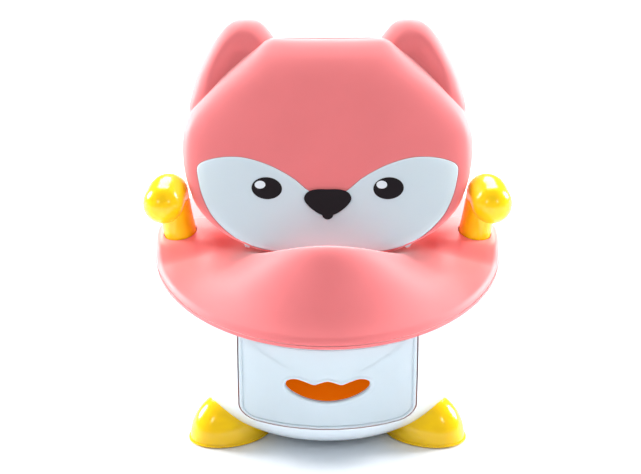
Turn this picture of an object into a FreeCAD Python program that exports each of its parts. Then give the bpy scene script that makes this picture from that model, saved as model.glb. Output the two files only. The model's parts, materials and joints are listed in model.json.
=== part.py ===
import FreeCAD, Part
import math
import os

# Potty training chair with a flip-up animal-head lid, two grips and a pot drawer.
# Millimetres. Z is up, the front faces -Y, and the origin is on the floor below the body's centre.

V = FreeCAD.Vector

# ---- driving dimensions ----------------------------------------------------
# body
body_wall = 3.0
body_floor_gap = 7.0            # clear height under the body
body_bottom_radius = 71.0       # flat opening in the bottom
body_low_arc = 74.0             # radius of the rounded lower edge
body_low_turn = 66.0            # degrees that the lower edge turns through
body_high_arc = 330.0           # radius of the nearly straight side
rib_half_length = 60.0          # stiffening ribs of the base plate
body_top = 205.0                # height that the side is drawn to before the sloping cut

# seat
rim_radius = 175.0
rim_height = 176.0              # underside of the rim at the sides
rim_slope = 0.145               # the rim rises to the back by this much per millimetre
lip_height = 8.0
seat_height = 203.0
seat_skin = 3.0
hole_half_width = 58.0
hole_half_length = 70.0
hole_centre_y = 5.0
collar_foot = 150.0             # lower end of the collar inside the hole
guard_height = 231.5            # crest of the splash guard
guard_spread = 76.0             # degrees from the front where the guard has run out
guard_place = 0.39              # crest, as a share of the way from hole to rim
seat_lap = 4.0                  # how far the body's top edge stands up inside the rim
seat_boss_drop = 6.5            # top of the screw bosses below the seat's highest level

# grips
grip_x = 150.5
grip_y = 5.0
grip_z = 199.0
grip_lean_out = 10.0
grip_lean_front = 7.0
grip_post_radius = 16.5
grip_knob_radius = 19.5
grip_clearance = 0.9
socket_depth = 10.0
socket_rim = 3.4
tenon_radius = 8.5
tenon_length = 30.0
tenon_clearance = 0.2
post_gap = 0.4                  # between the post's foot and the floor of its socket

# lid
lid_gap = 4.0                   # underside of the lid above the seat
lid_wall = 3.0
face_angle = 50.0               # slope of the face from level
chin_y = -73.0
hinge_y = 152.0
hinge_z = 214.0
pin_radius = 2.5
pin_length = 34.0
pin_clearance = 0.08
knuckle_radius = 7.5
knuckle_width = 14.0
knuckle_x = 52.0
lug_root = 1.5                  # how far the seat's hinge lugs reach down into its skin
liner_thickness = 3.0
lid_boss_height = 44.0
arm_front = 118.0               # where the hinge arms start in the lid's underside
inlay_depth = 1.6
nose_depth = 2.2

# drawer
drawer_half_width = 90.0
drawer_bottom = 42.0
drawer_corner = 18.0
drawer_gap = 1.2
drawer_top_drop = 2.0           # opening's top edge below the rim
tray_half_width = 86.0
tray_front = -94.0
tray_back = 94.0
tray_wall = 2.5
tray_floor = 44.0
tray_height = 94.0
tray_corner = 8.0
tray_chamfer = 7.0              # keeps the tray clear of the opening's round corners
pot_flange_radius = 88.0
pot_radius = 80.0
pot_wall = 2.5
pot_flange = 3.0
pot_lift = 1.0                  # pot's foot above the tray's floor
runner_half_length = 86.0
runner_width = 25.0
runner_foot = 14.0              # underside of the rails, above the base plate
runner_gap = 0.3
fence_gap = 2.0
fence_width = 3.0
fence_height = 12.0
finger_width = 43.0
finger_bottom = 80.0
finger_end = 98.5
finger_lobe = 108.0
finger_dip = 102.0
finger_bump = 106.8
post_x = 66.0                   # posts that join the drawer's front to its tray
post_heights = (66.0, 122.0)
post_radius = 5.5

# feet
foot_x = 100.0
foot_y = 57.0
foot_length = 45.0
foot_width = 33.0
foot_height = 46.0
foot_turn = 32.0                # degrees that a foot turns from +X towards the front or back
pad_radius = 12.0
pad_thickness = 3.0
pad_proud = 1.0
foot_screw_share = 1.04         # screws and pads sit this much further out than the feet's centres
foot_boss_height = 34.0

# fasteners
screw_radius = 2.0
screw_head_radius = 4.0
screw_head_height = 3.0
boss_radius = 6.0
column_radius = 8.0
column_x = 101.0
column_y = 32.0
column_drop = 8.0               # top of the columns below the rim's plane
column_shelf = 6.0              # thickness of a column's top above its screw head

FEET = (("foot_front_left", -1, -1), ("foot_front_right", 1, -1),
        ("foot_rear_left", -1, 1), ("foot_rear_right", 1, 1))
GRID_ANGLES = 28
BIG = 500.0

parts = {}


# ---- general helpers -------------------------------------------------------
def cylinder(radius, height, place, direction=V(0, 0, 1)):
    return Part.makeCylinder(radius, height, place, direction)


def block(x0, x1, y0, y1, z0, z1):
    return Part.makeBox(x1 - x0, y1 - y0, z1 - z0, V(x0, y0, z0))


def mirrored(shape):
    return shape.mirror(V(0, 0, 0), V(1, 0, 0))


def closed_spline(points):
    curve = Part.BSplineCurve()
    curve.interpolate(Points=points, PeriodicFlag=True)
    return Part.Wire([curve.toShape()])


def screw(place, direction, length):
    """A pan-head screw: its head lies before place, its shank runs on along direction."""
    head = cylinder(screw_head_radius, screw_head_height, place - direction * screw_head_height, direction)
    shank = cylinder(screw_radius, length, place, direction)
    return head.fuse(shank)


def below_rim(drop):
    """A large block under the sloping rim plane, lowered by drop."""
    lean = math.degrees(math.atan(rim_slope))
    shape = block(-BIG, BIG, -BIG, BIG, -BIG, 0)
    shape.rotate(V(0, 0, 0), V(1, 0, 0), lean)
    shape.translate(V(0, 0, rim_height - drop))
    return shape


# ---- body ------------------------------------------------------------------
def body_form(inset, top=body_top):
    """Solid of revolution of the body's outside, taken inwards by inset."""
    low = body_low_arc - inset
    high = body_high_arc - inset
    low_centre = V(body_bottom_radius, 0, body_floor_gap + body_low_arc)
    turn = math.radians(body_low_turn)
    side = math.radians(90 - body_low_turn)
    reach = V(math.cos(side), 0, -math.sin(side))
    high_centre = low_centre - reach * (body_high_arc - body_low_arc)
    start = low_centre + V(0, 0, -low)
    middle = low_centre + V(math.sin(turn / 2), 0, -math.cos(turn / 2)) * low
    join = low_centre + reach * low
    end_angle = math.asin((top - high_centre.z) / high)
    half_angle = (end_angle - side) / 2
    high_middle = high_centre + V(math.cos(half_angle), 0, math.sin(half_angle)) * high
    end = high_centre + V(math.cos(end_angle), 0, math.sin(end_angle)) * high
    edges = [
        Part.makeLine(V(0, 0, start.z), start),
        Part.Arc(start, middle, join).toShape(),
        Part.Arc(join, high_middle, end).toShape(),
        Part.makeLine(end, V(0, 0, top)),
        Part.makeLine(V(0, 0, top), V(0, 0, start.z)),
    ]
    face = Part.Face(Part.Wire(edges))
    return face.revolve(V(0, 0, 0), V(0, 0, 1), 360)


def drawer_prism(inset):
    """The drawer opening, as a block through the front, smaller by inset all round."""
    half = drawer_half_width - inset
    bottom = drawer_bottom + inset
    shape = block(-half, half, -BIG, tray_front + 4, bottom, body_top)
    corners = [e for e in shape.Edges if is_lower_corner(e, bottom)]
    shape = shape.makeFillet(drawer_corner - inset, corners)
    return shape.common(below_rim(drawer_top_drop + inset))


def is_lower_corner(edge, bottom):
    ends = [v.Point for v in edge.Vertexes]
    level = all(abs(p.z - bottom) < 0.01 for p in ends)
    return level and abs(ends[0].x - ends[1].x) < 0.01


def column_places():
    return [V(sx * column_x, sy * column_y, 0) for sx in (-1, 1) for sy in (-1, 1)]


def foot_screw_place(sx, sy):
    return V(sx * foot_x * foot_screw_share, sy * foot_y * foot_screw_share, 0)


def seat_column_top(place):
    return rim_level(place.y) - column_drop


def make_body():
    outside = body_form(0)
    inside = body_form(body_wall)
    shell = outside.cut(inside)
    shell = shell.cut(cylinder(body_bottom_radius - 1, 40, V(0, 0, 0)))
    shell = shell.common(below_rim(-seat_lap))
    shell = shell.cut(drawer_prism(0))
    columns = []
    for place in column_places():
        top = seat_column_top(place)
        columns.append(cylinder(column_radius, top, place).common(inside))
    foot_screws = [foot_screw_place(sx, sy) for sx in (-1, 1) for sy in (-1, 1)]
    for place in foot_screws:
        columns.append(cylinder(boss_radius, foot_boss_height, place).common(inside))
    shell = shell.fuse(columns)
    for place in column_places():
        top = seat_column_top(place)
        shell = shell.cut(cylinder(screw_head_radius + 0.6, top - column_shelf, place))
        shell = shell.cut(cylinder(screw_radius, BIG, place))
    for place in foot_screws:
        shell = shell.cut(cylinder(screw_radius, foot_boss_height - 4, place))
    parts["body_shell"] = shell
    return outside, inside, shell


def make_base_plate(shell):
    plug = cylinder(body_bottom_radius - 1.3, body_wall, V(0, 0, body_floor_gap))
    flange = cylinder(body_bottom_radius + 4, body_wall, V(0, 0, body_floor_gap + body_wall))
    ribs = [block(-rib_half_length, rib_half_length, y - 1, y + 1,
                  body_floor_gap + body_wall, body_floor_gap + body_wall + 8) for y in (-30, 0, 30)]
    plate = plug.fuse([flange] + ribs)
    parts["base_plate"] = plate.cut(shell)


def make_seat_screws():
    screws = []
    for place in column_places():
        shelf = seat_column_top(place) - column_shelf
        screws.append(screw(V(place.x, place.y, shelf), V(0, 0, 1), 14))
    parts["seat_screws"] = Part.makeCompound(screws)


# ---- seat ------------------------------------------------------------------
def rim_level(y):
    return rim_height + rim_slope * y


def seat_plan(angle, share):
    """Plan place at an angle from the front, a share of the way from the hole to the rim."""
    s = math.sin(angle)
    c = math.cos(angle)
    hole = V(hole_half_width * s, hole_centre_y - hole_half_length * c, 0)
    rim = V(rim_radius * s, -rim_radius * c, 0)
    return hole + (rim - hole) * share


def seat_base(angle, share):
    """Height of the seat's top without the splash guard."""
    edge = rim_level(-rim_radius * math.cos(angle)) + lip_height
    return seat_height + (edge - seat_height) * share ** 1.6


def guard_rise(angle, share):
    """Height that the splash guard adds to the seat."""
    reach = abs(math.degrees(angle)) / guard_spread
    if reach >= 1:
        return 0.0
    peak = math.cos(reach * math.pi / 2) ** 2
    spread = 0.13 if share < guard_place else 0.34
    shape = math.exp(-((share - guard_place) / spread) ** 2)
    return (guard_height - seat_base(0, guard_place)) * peak * shape


def seat_level(angle, share):
    place = seat_plan(angle, share)
    fade = 1 - max(0.0, (share - 0.6) / 0.4) ** 2
    return V(place.x, place.y, seat_base(angle, share) + guard_rise(angle, share) * fade)


def seat_row(angle):
    """The seat's upper skin at one angle, from the collar's foot over the seat to the rim's foot."""
    row = []
    for level in (collar_foot, collar_foot + 15, collar_foot + 30, seat_height - 11):
        place = seat_plan(angle, 0)
        row.append(V(place.x, place.y, level))
    for share, drop in ((0.012, 5.0), (0.04, 1.6), (0.09, 0.2)):
        row.append(seat_level(angle, share) - V(0, 0, drop))
    for share in (0.16, 0.23, 0.31, 0.39, 0.48, 0.58, 0.68, 0.78, 0.87):
        row.append(seat_level(angle, share))
    for share, drop in ((0.94, 0.5), (0.98, 2.0)):
        row.append(seat_level(angle, share) - V(0, 0, drop))
    edge = rim_level(-rim_radius * math.cos(angle))
    place = seat_plan(angle, 1)
    for level in (lip_height - 4.0, lip_height / 4, 0):
        row.append(V(place.x, place.y, edge + level))
    return row


def grid_normals(grid):
    rows = len(grid)
    columns = len(grid[0])
    normals = []
    for i in range(rows):
        line = []
        for j in range(columns):
            along = grid[min(i + 1, rows - 1)][j] - grid[max(i - 1, 0)][j]
            across = grid[i][min(j + 1, columns - 1)] - grid[i][max(j - 1, 0)]
            line.append(across.cross(along).normalize())
        normals.append(line)
    return normals


def open_spline(points):
    curve = Part.BSplineCurve()
    curve.interpolate(points)
    return curve.toShape()


def skin_solid(grid, thickness):
    """Closed solid between the rows of points and the same rows moved in along their normals."""
    sections = []
    for row, line in zip(grid, grid_normals(grid)):
        inner = [p - n * thickness for p, n in zip(row, line)]
        edges = [open_spline(row), Part.makeLine(row[-1], inner[-1]),
                 open_spline(inner[::-1]), Part.makeLine(inner[0], row[0])]
        sections.append(Part.Wire(edges))
    return Part.makeLoft(sections, True)


def socket_axis(side):
    out = math.tan(math.radians(grip_lean_out))
    front = math.tan(math.radians(grip_lean_front))
    return V(side * out, -front, 1).normalize()


def add_socket(seat, side):
    """Boss, wide recess and narrow bore for one grip."""
    axis = socket_axis(side)
    mouth = V(side * grip_x, grip_y, grip_z)
    recess = grip_post_radius + grip_clearance
    bore = tenon_radius + tenon_clearance
    cup_depth = socket_depth + tenon_length
    boss = cylinder(recess + socket_rim, socket_depth + 3, mouth - axis * (socket_depth + 3), axis)
    boss = boss.common(cylinder(rim_radius - 1, BIG, V(0, 0, 0)))
    stem = cylinder(bore + 2.5, cup_depth, mouth - axis * (cup_depth + 3), axis)
    seat = seat.fuse([boss, stem])
    seat = seat.cut(cylinder(recess, socket_depth + 20, mouth - axis * socket_depth, axis))
    seat = seat.cut(cylinder(bore, cup_depth, mouth - axis * cup_depth, axis))
    return seat.cut(cylinder(screw_radius, BIG, mouth - axis * BIG, axis))


def make_seat():
    overrun = math.pi / GRID_ANGLES
    angles = [-overrun + (math.pi + 2 * overrun) * i / GRID_ANGLES for i in range(GRID_ANGLES + 1)]
    skin = skin_solid([seat_row(a) for a in angles], seat_skin)
    half = skin.common(block(0, BIG, -BIG, BIG, 0, BIG))
    seat = half.fuse(mirrored(half))
    for side in (-1, 1):
        seat = add_socket(seat, side)
    bosses = []
    for place in column_places():
        foot = seat_column_top(place)
        boss = cylinder(boss_radius, seat_height - seat_boss_drop - foot, V(place.x, place.y, foot))
        boss = boss.cut(cylinder(screw_radius, 8, V(place.x, place.y, foot)))
        bosses.append(boss)
    seat = seat.fuse(bosses)
    lugs = []
    for side in (-1, 1):
        lugs.append(hinge_lug(side * knuckle_x, rim_level(hinge_y) + lip_height - lug_root))
    seat = seat.fuse(lugs)
    seat = seat.cut(cylinder(pin_radius, BIG, V(-BIG / 2, hinge_y, hinge_z), V(1, 0, 0)))
    parts["seat_top"] = seat


def hinge_lug(x, foot):
    """An upright ear around the hinge axis, standing on the seat."""
    barrel = cylinder(knuckle_radius, knuckle_width, V(x - knuckle_width / 2, hinge_y, hinge_z), V(1, 0, 0))
    half = knuckle_radius
    web = block(x - knuckle_width / 2, x + knuckle_width / 2, hinge_y - half, hinge_y + half, foot, hinge_z)
    return barrel.fuse(web)


# ---- grips -----------------------------------------------------------------
def grip_stations(side):
    """Centres, radii and directions of the grip's round sections, from its foot to its knob."""
    axis = socket_axis(side)
    mouth = V(side * grip_x, grip_y, grip_z)
    foot = mouth - axis * (socket_depth - post_gap)
    stations = [(foot + axis * rise, grip_post_radius, axis) for rise in (0, 4, 8, 12, 16, 20, 24)]
    elbow = mouth + axis * 36
    places = [foot + axis * 20, foot + axis * 24, mouth + axis * 22,
              V(elbow.x + side * 1.0, elbow.y - 1.5, elbow.z + 1.5),
              V(elbow.x + side * 2.0, elbow.y - 9, elbow.z + 7.5),
              V(elbow.x + side * 4.0, elbow.y - 21, elbow.z + 10),
              V(elbow.x + side * 6.0, elbow.y - 34, elbow.z + 9)]
    radii = [grip_post_radius, grip_post_radius, grip_post_radius, grip_post_radius + 0.5,
             grip_post_radius + 1.8, grip_knob_radius - 0.3, grip_knob_radius]
    path = Part.BSplineCurve()
    path.interpolate(places)
    for place, radius in list(zip(places, radii))[2:]:
        direction = V(*path.tangent(path.parameter(place))[0])
        stations.append((place, radius, direction))
    end, radius, ahead = stations[-1]
    for share in (0.35, 0.62, 0.84, 0.96):
        narrower = grip_knob_radius * math.sqrt(1 - share ** 2)
        stations.append((end + ahead * (grip_knob_radius * share), narrower, ahead))
    return stations


def make_grip(side, name):
    axis = socket_axis(side)
    stations = grip_stations(side)
    wires = [Part.Wire([Part.Circle(p, d, r).toShape()]) for p, r, d in stations]
    grip = Part.makeLoft(wires, True)
    foot = stations[0][0]
    end = foot - axis * (tenon_length - post_gap)
    grip = grip.fuse(cylinder(tenon_radius, tenon_length - post_gap, end, axis))
    grip = grip.cut(cylinder(screw_radius, 16, end, axis))
    parts[name] = grip


def make_grip_screws():
    screws = []
    for side in (-1, 1):
        axis = socket_axis(side)
        mouth = V(side * grip_x, grip_y, grip_z)
        under = mouth - axis * (socket_depth + tenon_length + 3)
        screws.append(screw(under, axis, 15))
    parts["handle_screws"] = Part.makeCompound(screws)


# ---- lid -------------------------------------------------------------------
# height above the lid's underside, half width, how far the front lies behind the
# plane of the face, and the back's place
LID_LEVELS = (
    (0.0, 70, 2.0, 136), (4.0, 81, 0.6, 138), (12.0, 103, 0, 140), (22.0, 119, 0, 141),
    (33.0, 131, 0, 142), (48.0, 140, 0, 142), (64.0, 146, 0, 142), (82.0, 148, 0, 141),
    (96.0, 145.5, 0, 139), (110.0, 136.5, 0, 136), (124.0, 122, 0, 133), (138.0, 105, 0, 130),
    (150.0, 88, 0.8, 126), (160.0, 73.5, 4.0, 120), (167.0, 63, 9.0, 112), (171.0, 54, 14.0, 104),
)
section_points = 32
front_power = 6.0
back_power = 3.0


def lid_bottom():
    return seat_height + lid_gap


def face_y(z):
    """Where the sloping plane of the face is at height z."""
    return chin_y + (z - lid_bottom()) / math.tan(math.radians(face_angle))


def lid_section(z, half_width, front, back):
    """One level section of the head: flat in front, rounder behind."""
    middle = (front + back) / 2
    depth = (back - front) / 2
    points = []
    for i in range(section_points):
        t = 2 * math.pi * i / section_points
        c = math.cos(t)
        s = math.sin(t)
        power = back_power if s > 0 else front_power
        x = half_width * math.copysign(abs(c) ** (2 / power), c)
        y = middle + depth * math.copysign(abs(s) ** (2 / power), s)
        points.append(V(x, y, z))
    return closed_spline(points)


def lid_form(inset):
    """The head without ears; inset makes it smaller for the hollow inside."""
    wires = []
    for rise, half_width, setback, back in LID_LEVELS:
        z = lid_bottom() + rise
        front = face_y(z) + setback + inset * 1.35
        share = rise / LID_LEVELS[-1][0]
        level = z - inset * 1.3 * share
        wires.append(lid_section(level, half_width - inset * 1.1, front, back - inset))
    return Part.makeLoft(wires, True)


def face_normal():
    a = math.radians(face_angle)
    return V(0, -math.sin(a), math.cos(a))


def on_face(u, v, w=0.0):
    """Place on the face: u across, v up from the chin, w out of the face."""
    a = math.radians(face_angle)
    up = V(0, math.cos(a), math.sin(a))
    return V(0, chin_y, lid_bottom()) + V(u, 0, 0) + up * v + face_normal() * w


EAR_OUTLINE = ((-50, 228), (-63, 248), (-75, 259.5), (-86, 261), (-98, 252), (-111, 234),
               (-125, 209), (-137, 178), (-128, 150), (-80, 160), (-46, 190))


def ear_plate(outline, low, high):
    points = [on_face(u, v, low) for u, v in outline]
    face = Part.Face(closed_spline(points))
    return face.extrude(face_normal() * (high - low))


def inward(outline, distance):
    """The same outline drawn smaller about its own centre."""
    cu = sum(p[0] for p in outline) / len(outline)
    cv = sum(p[1] for p in outline) / len(outline)
    result = []
    for u, v in outline:
        away = math.hypot(u - cu, v - cv)
        share = (away - distance) / away
        result.append((cu + (u - cu) * share, cv + (v - cv) * share))
    return result


def make_ear():
    ear = ear_plate(EAR_OUTLINE, -52, -20)
    ear = ear.makeFillet(7.0, outline_edges(ear))
    hollow = ear_plate(inward(EAR_OUTLINE, 11.0), -27, -10)
    return ear.cut(hollow)


def outline_edges(shape):
    normal = face_normal()
    edges = []
    for edge in shape.Edges:
        spread = [v.Point.dot(normal) for v in edge.Vertexes]
        if max(spread) - min(spread) < 0.01:
            edges.append(edge)
    return edges


MASK_HALF = ((0, 3.5), (38, 4.0), (64, 6.5), (92, 18), (115, 40), (126, 62), (131, 84), (130.5, 96.5),
             (116, 102.5), (99, 103.5), (82, 101.5), (62, 95), (46, 87), (33, 78.5), (20, 66.5), (9, 60))


def mask_face(low):
    """Mask outline on the plane at depth low behind the face, with sharp upper corners."""
    right = [on_face(u, v, low) for u, v in MASK_HALF]
    left = [on_face(-u, v, low) for u, v in MASK_HALF]
    corner = 7
    bottom = left[1:corner + 1][::-1] + right[:corner + 1]
    top = right[corner:] + left[corner:][::-1]
    lower = Part.BSplineCurve()
    lower.interpolate(bottom)
    upper = Part.BSplineCurve()
    upper.interpolate(top)
    return Part.Face(Part.Wire([lower.toShape(), upper.toShape()]))


def ellipse_face(u, v, half_long, half_short, tilt, low):
    points = []
    for i in range(12):
        t = 2 * math.pi * i / 12
        a = half_long * math.cos(t)
        b = half_short * math.sin(t)
        r = math.radians(tilt)
        points.append(on_face(u + a * math.cos(r) - b * math.sin(r), v + a * math.sin(r) + b * math.cos(r), low))
    return Part.Face(closed_spline(points))


NOSE_HALF = ((0, 66.5), (12, 66.2), (20, 63.5), (22.3, 58), (17, 51), (9, 45), (4, 41.5), (0, 38.5))


def nose_face(low):
    right = [on_face(u, v, low) for u, v in NOSE_HALF]
    left = [on_face(-u, v, low) for u, v in NOSE_HALF[1:-1]][::-1]
    return Part.Face(closed_spline(right + left))


def face_layer(outer, thickness):
    """The outermost layer of the head's front, thickness deep."""
    sunk = outer.copy()
    sunk.translate(face_normal() * -thickness)
    front = outer.cut(sunk)
    return front.common(block(-BIG, BIG, -BIG, 75, lid_bottom() + 1, lid_bottom() + 160))


def prism(face, length=80.0):
    return face.extrude(face_normal() * length)


EYE_X = 61.5
EYE_V = 70.0
EYE_LONG = 15.4
EYE_SHORT = 11.6
EYE_TILT = 6.0
GLINT_SHIFT = (-6.8, 3.8)
GLINT_LONG = 5.4
GLINT_SHORT = 4.1


def make_face(outer):
    """Inlays of the face. Returns the recess that they leave in the head."""
    deep = -40.0
    layer = face_layer(outer, inlay_depth)
    mask_prism = prism(mask_face(deep))
    mask = layer.common(mask_prism)
    recess = layer.common(mask_prism)
    nose_prism = prism(nose_face(deep))
    nose_layer = face_layer(outer, nose_depth)
    nose = nose_layer.common(nose_prism)
    mask = mask.cut(nose_prism)
    for side, name in ((-1, "left"), (1, "right")):
        eye_prism = prism(ellipse_face(side * EYE_X, EYE_V, EYE_LONG, EYE_SHORT, side * EYE_TILT, deep))
        glint_u = side * EYE_X + GLINT_SHIFT[0]
        glint_prism = prism(ellipse_face(glint_u, EYE_V + GLINT_SHIFT[1], GLINT_LONG, GLINT_SHORT, 0, deep))
        parts["eye_" + name] = layer.common(eye_prism).cut(glint_prism)
        parts["eye_glint_" + name] = layer.common(glint_prism)
        mask = mask.cut(eye_prism)
    parts["face_mask"] = mask
    parts["nose"] = nose
    return recess.fuse(nose)


def lid_boss_places():
    return [V(-45, -42, 0), V(45, -42, 0), V(-66, 116, 0), V(66, 116, 0)]


def make_lid():
    outer = lid_form(0)
    inner = lid_form(lid_wall)
    opening = lid_section(lid_bottom() - 1, LID_LEVELS[0][1] - lid_wall - 1.5,
                          chin_y + 7, LID_LEVELS[0][3] - lid_wall - 1.5)
    mouth = Part.Face(opening).extrude(V(0, 0, 6))
    ear = make_ear()
    shell = outer.fuse([ear, mirrored(ear)])
    shell = shell.cut(inner).cut(mouth)
    bosses = []
    for place in lid_boss_places():
        boss = cylinder(boss_radius, lid_boss_height, V(place.x, place.y, lid_bottom() + liner_thickness))
        boss = boss.common(outer)
        bosses.append(boss)
    shell = shell.fuse(bosses)
    for place in lid_boss_places():
        shell = shell.cut(cylinder(screw_radius, 14, V(place.x, place.y, lid_bottom())))
    shell = shell.cut([lid_arm(-1, 0.3), lid_arm(1, 0.3)])
    recess = make_face(outer)
    shell = shell.cut(recess)
    parts["lid_shell"] = shell
    make_liner()


def lid_arm(side, gap):
    """Arm of the lid's underside that carries one inner knuckle, grown by gap."""
    x = side * (knuckle_x - knuckle_width - 0.6)
    half = knuckle_width / 2 + gap
    return block(x - half, x + half, arm_front, hinge_y, hinge_z - 5.5 - gap, hinge_z + 3 + gap)


def make_liner():
    """Underside of the head, with the two inner knuckles of the hinge."""
    outline = lid_section(lid_bottom(), LID_LEVELS[0][1] - lid_wall - 1.8,
                          chin_y + 7.3, LID_LEVELS[0][3] - lid_wall - 1.8)
    liner = Part.Face(outline).extrude(V(0, 0, liner_thickness))
    lugs = []
    for side in (-1, 1):
        x = side * (knuckle_x - knuckle_width - 0.6)
        half = knuckle_width / 2
        barrel = cylinder(knuckle_radius - 1, knuckle_width, V(x - half, hinge_y, hinge_z), V(1, 0, 0))
        lugs.append(barrel.fuse(lid_arm(side, 0)))
    liner = liner.fuse(lugs)
    liner = liner.cut(cylinder(pin_radius + pin_clearance, BIG, V(-BIG / 2, hinge_y, hinge_z), V(1, 0, 0)))
    screws = []
    for place in lid_boss_places():
        liner = liner.cut(cylinder(screw_radius, 10, V(place.x, place.y, lid_bottom())))
        liner = liner.cut(cylinder(screw_head_radius, 2, V(place.x, place.y, lid_bottom())))
        head = cylinder(screw_head_radius, 2, V(place.x, place.y, lid_bottom()))
        shank = cylinder(screw_radius, 12, V(place.x, place.y, lid_bottom() + 2))
        screws.append(head.fuse(shank))
    parts["lid_liner"] = liner
    parts["lid_screws"] = Part.makeCompound(screws)


def make_hinge_pins():
    pins = []
    for side in (-1, 1):
        x = side * (knuckle_x - knuckle_width / 2 - 0.3)
        pins.append(cylinder(pin_radius, pin_length, V(x - pin_length / 2, hinge_y, hinge_z), V(1, 0, 0)))
    parts["hinge_pins"] = Part.makeCompound(pins)


# ---- drawer ----------------------------------------------------------------
def finger_hole():
    """Smile-shaped finger opening, as a block through the front."""
    w = finger_width
    half = [(0, finger_bottom), (w * 0.45, finger_bottom + 3.0), (w * 0.8, finger_bottom + 10.5),
            (w, finger_end), (w * 0.93, finger_lobe - 2.5), (w * 0.72, finger_lobe),
            (w * 0.5, finger_lobe - 2.8), (w * 0.3, finger_dip), (w * 0.15, finger_bump - 2)]
    right = [V(x, -BIG, z) for x, z in half]
    left = [V(-x, -BIG, z) for x, z in half[1:]][::-1]
    top = [V(0, -BIG, finger_bump)]
    face = Part.Face(closed_spline(right + top + left))
    return face.extrude(V(0, BIG + tray_front - 8, 0))


def drawer_post_places():
    return [(sx * post_x, z) for sx in (-1, 1) for z in post_heights]


def make_drawer_front(outside, inside):
    """The body's wall inside the opening, with a groove round its edge and posts behind it."""
    wall = outside.cut(inside)
    panel = wall.common(drawer_prism(drawer_gap))
    groove = drawer_prism(5.0).cut(drawer_prism(6.0))
    panel = panel.cut(groove.cut(body_form(0.8)))
    behind_skin = body_form(0.8)
    posts = []
    for x, z in drawer_post_places():
        post = cylinder(post_radius, 90, V(x, tray_front, z), V(0, -1, 0))
        posts.append(post.common(behind_skin))
    panel = panel.fuse(posts)
    for x, z in drawer_post_places():
        panel = panel.cut(cylinder(screw_radius, 14, V(x, tray_front, z), V(0, -1, 0)))
    parts["drawer_front"] = panel.cut(finger_hole())


def tray_block(inset, top):
    """The tray's outside, or its inside for an inset: upright corners round, long lower edges cut off."""
    half = tray_half_width - inset
    floor = tray_floor + inset
    shape = block(-half, half, tray_front + inset, tray_back - inset, floor, top)
    upright = [e for e in shape.Edges if abs(e.Vertexes[0].Z - e.Vertexes[-1].Z) > 1]
    shape = shape.makeFillet(tray_corner - inset, upright)
    chamfer = tray_chamfer - inset * (2 - math.sqrt(2))
    wedge = Part.makePolygon([V(half - chamfer, -BIG, floor), V(half + 1, -BIG, floor + chamfer + 1),
                              V(half + 1, -BIG, floor - 1), V(half - chamfer - 1, -BIG, floor - 1),
                              V(half - chamfer, -BIG, floor)])
    wedge = Part.Face(wedge).extrude(V(0, 2 * BIG, 0))
    return shape.cut([wedge, mirrored(wedge)])


def make_tray():
    top = tray_floor + tray_height
    tray = tray_block(0, top).cut(tray_block(tray_wall, top + 1))
    for x, z in drawer_post_places():
        tray = tray.cut(cylinder(screw_radius, 10, V(x, tray_front + 5, z), V(0, -1, 0)))
    parts["drawer_tray"] = tray
    screws = []
    for x, z in drawer_post_places():
        screws.append(screw(V(x, tray_front + tray_wall, z), V(0, -1, 0), 12))
    parts["drawer_screws"] = Part.makeCompound(screws)


def make_pot():
    """Round pot with a rolled rim that rests on the tray's two side walls."""
    top = tray_floor + tray_height
    foot = tray_floor + tray_wall + pot_lift
    radius = pot_radius
    flange_radius = pot_flange_radius
    t = pot_wall
    profile = [V(0, 0, foot), V(radius - 24, 0, foot), V(radius - 7, 0, foot + 16),
               V(radius, 0, top), V(flange_radius, 0, top), V(flange_radius, 0, top + pot_flange),
               V(radius - t, 0, top + pot_flange), V(radius - 7 - t, 0, foot + 16 + t / 2),
               V(radius - 24 - t / 2, 0, foot + t), V(0, 0, foot + t), V(0, 0, foot)]
    pot = Part.Face(Part.makePolygon(profile)).revolve(V(0, 0, 0), V(0, 0, 1), 360)
    parts["potty_bowl"] = pot


def make_runners(inside):
    """Two rails under the tray, each with a fence beside it."""
    outer = tray_half_width + fence_gap + fence_width
    rail = block(outer - runner_width, outer, -runner_half_length, runner_half_length,
                 runner_foot, tray_floor - runner_gap)
    fence = block(tray_half_width + fence_gap, outer, -runner_half_length, runner_half_length,
                  tray_floor - 1, tray_floor + fence_height)
    rail = rail.fuse(fence).common(inside)
    parts["drawer_guide_right"] = rail
    parts["drawer_guide_left"] = mirrored(rail)


# ---- feet ------------------------------------------------------------------
def make_feet(outside):
    pads = []
    screws = []
    ball = Part.makeSphere(1.0)
    matrix = FreeCAD.Matrix()
    matrix.scale(V(foot_length, foot_width, foot_height))
    head_top = pad_thickness + 1 + screw_head_height
    across = math.cos(math.radians(foot_turn))
    along = math.sin(math.radians(foot_turn))
    for name, sx, sy in FEET:
        dome = ball.transformGeometry(matrix)
        dome.rotate(V(0, 0, 0), V(0, 0, 1), math.degrees(math.atan2(sy * along, sx * across)))
        dome.translate(V(sx * foot_x, sy * foot_y, pad_proud))
        dome = dome.common(block(-BIG, BIG, -BIG, BIG, pad_proud, BIG))
        dome = dome.cut(outside)
        place = foot_screw_place(sx, sy)
        dome = dome.cut(cylinder(pad_radius, pad_thickness, place))
        dome = dome.cut(cylinder(screw_head_radius, head_top, place))
        dome = dome.cut(cylinder(screw_radius, BIG, place))
        parts[name] = biggest(dome)
        pads.append(cylinder(pad_radius, pad_thickness, place))
        screws.append(screw(place + V(0, 0, head_top), V(0, 0, 1), 22))
    parts["foot_pads"] = Part.makeCompound(pads)
    parts["foot_screws"] = Part.makeCompound(screws)


def biggest(shape):
    """The largest solid: the dome's main piece, without slivers inside the body."""
    return max(shape.Solids, key=lambda s: s.Volume)


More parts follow.
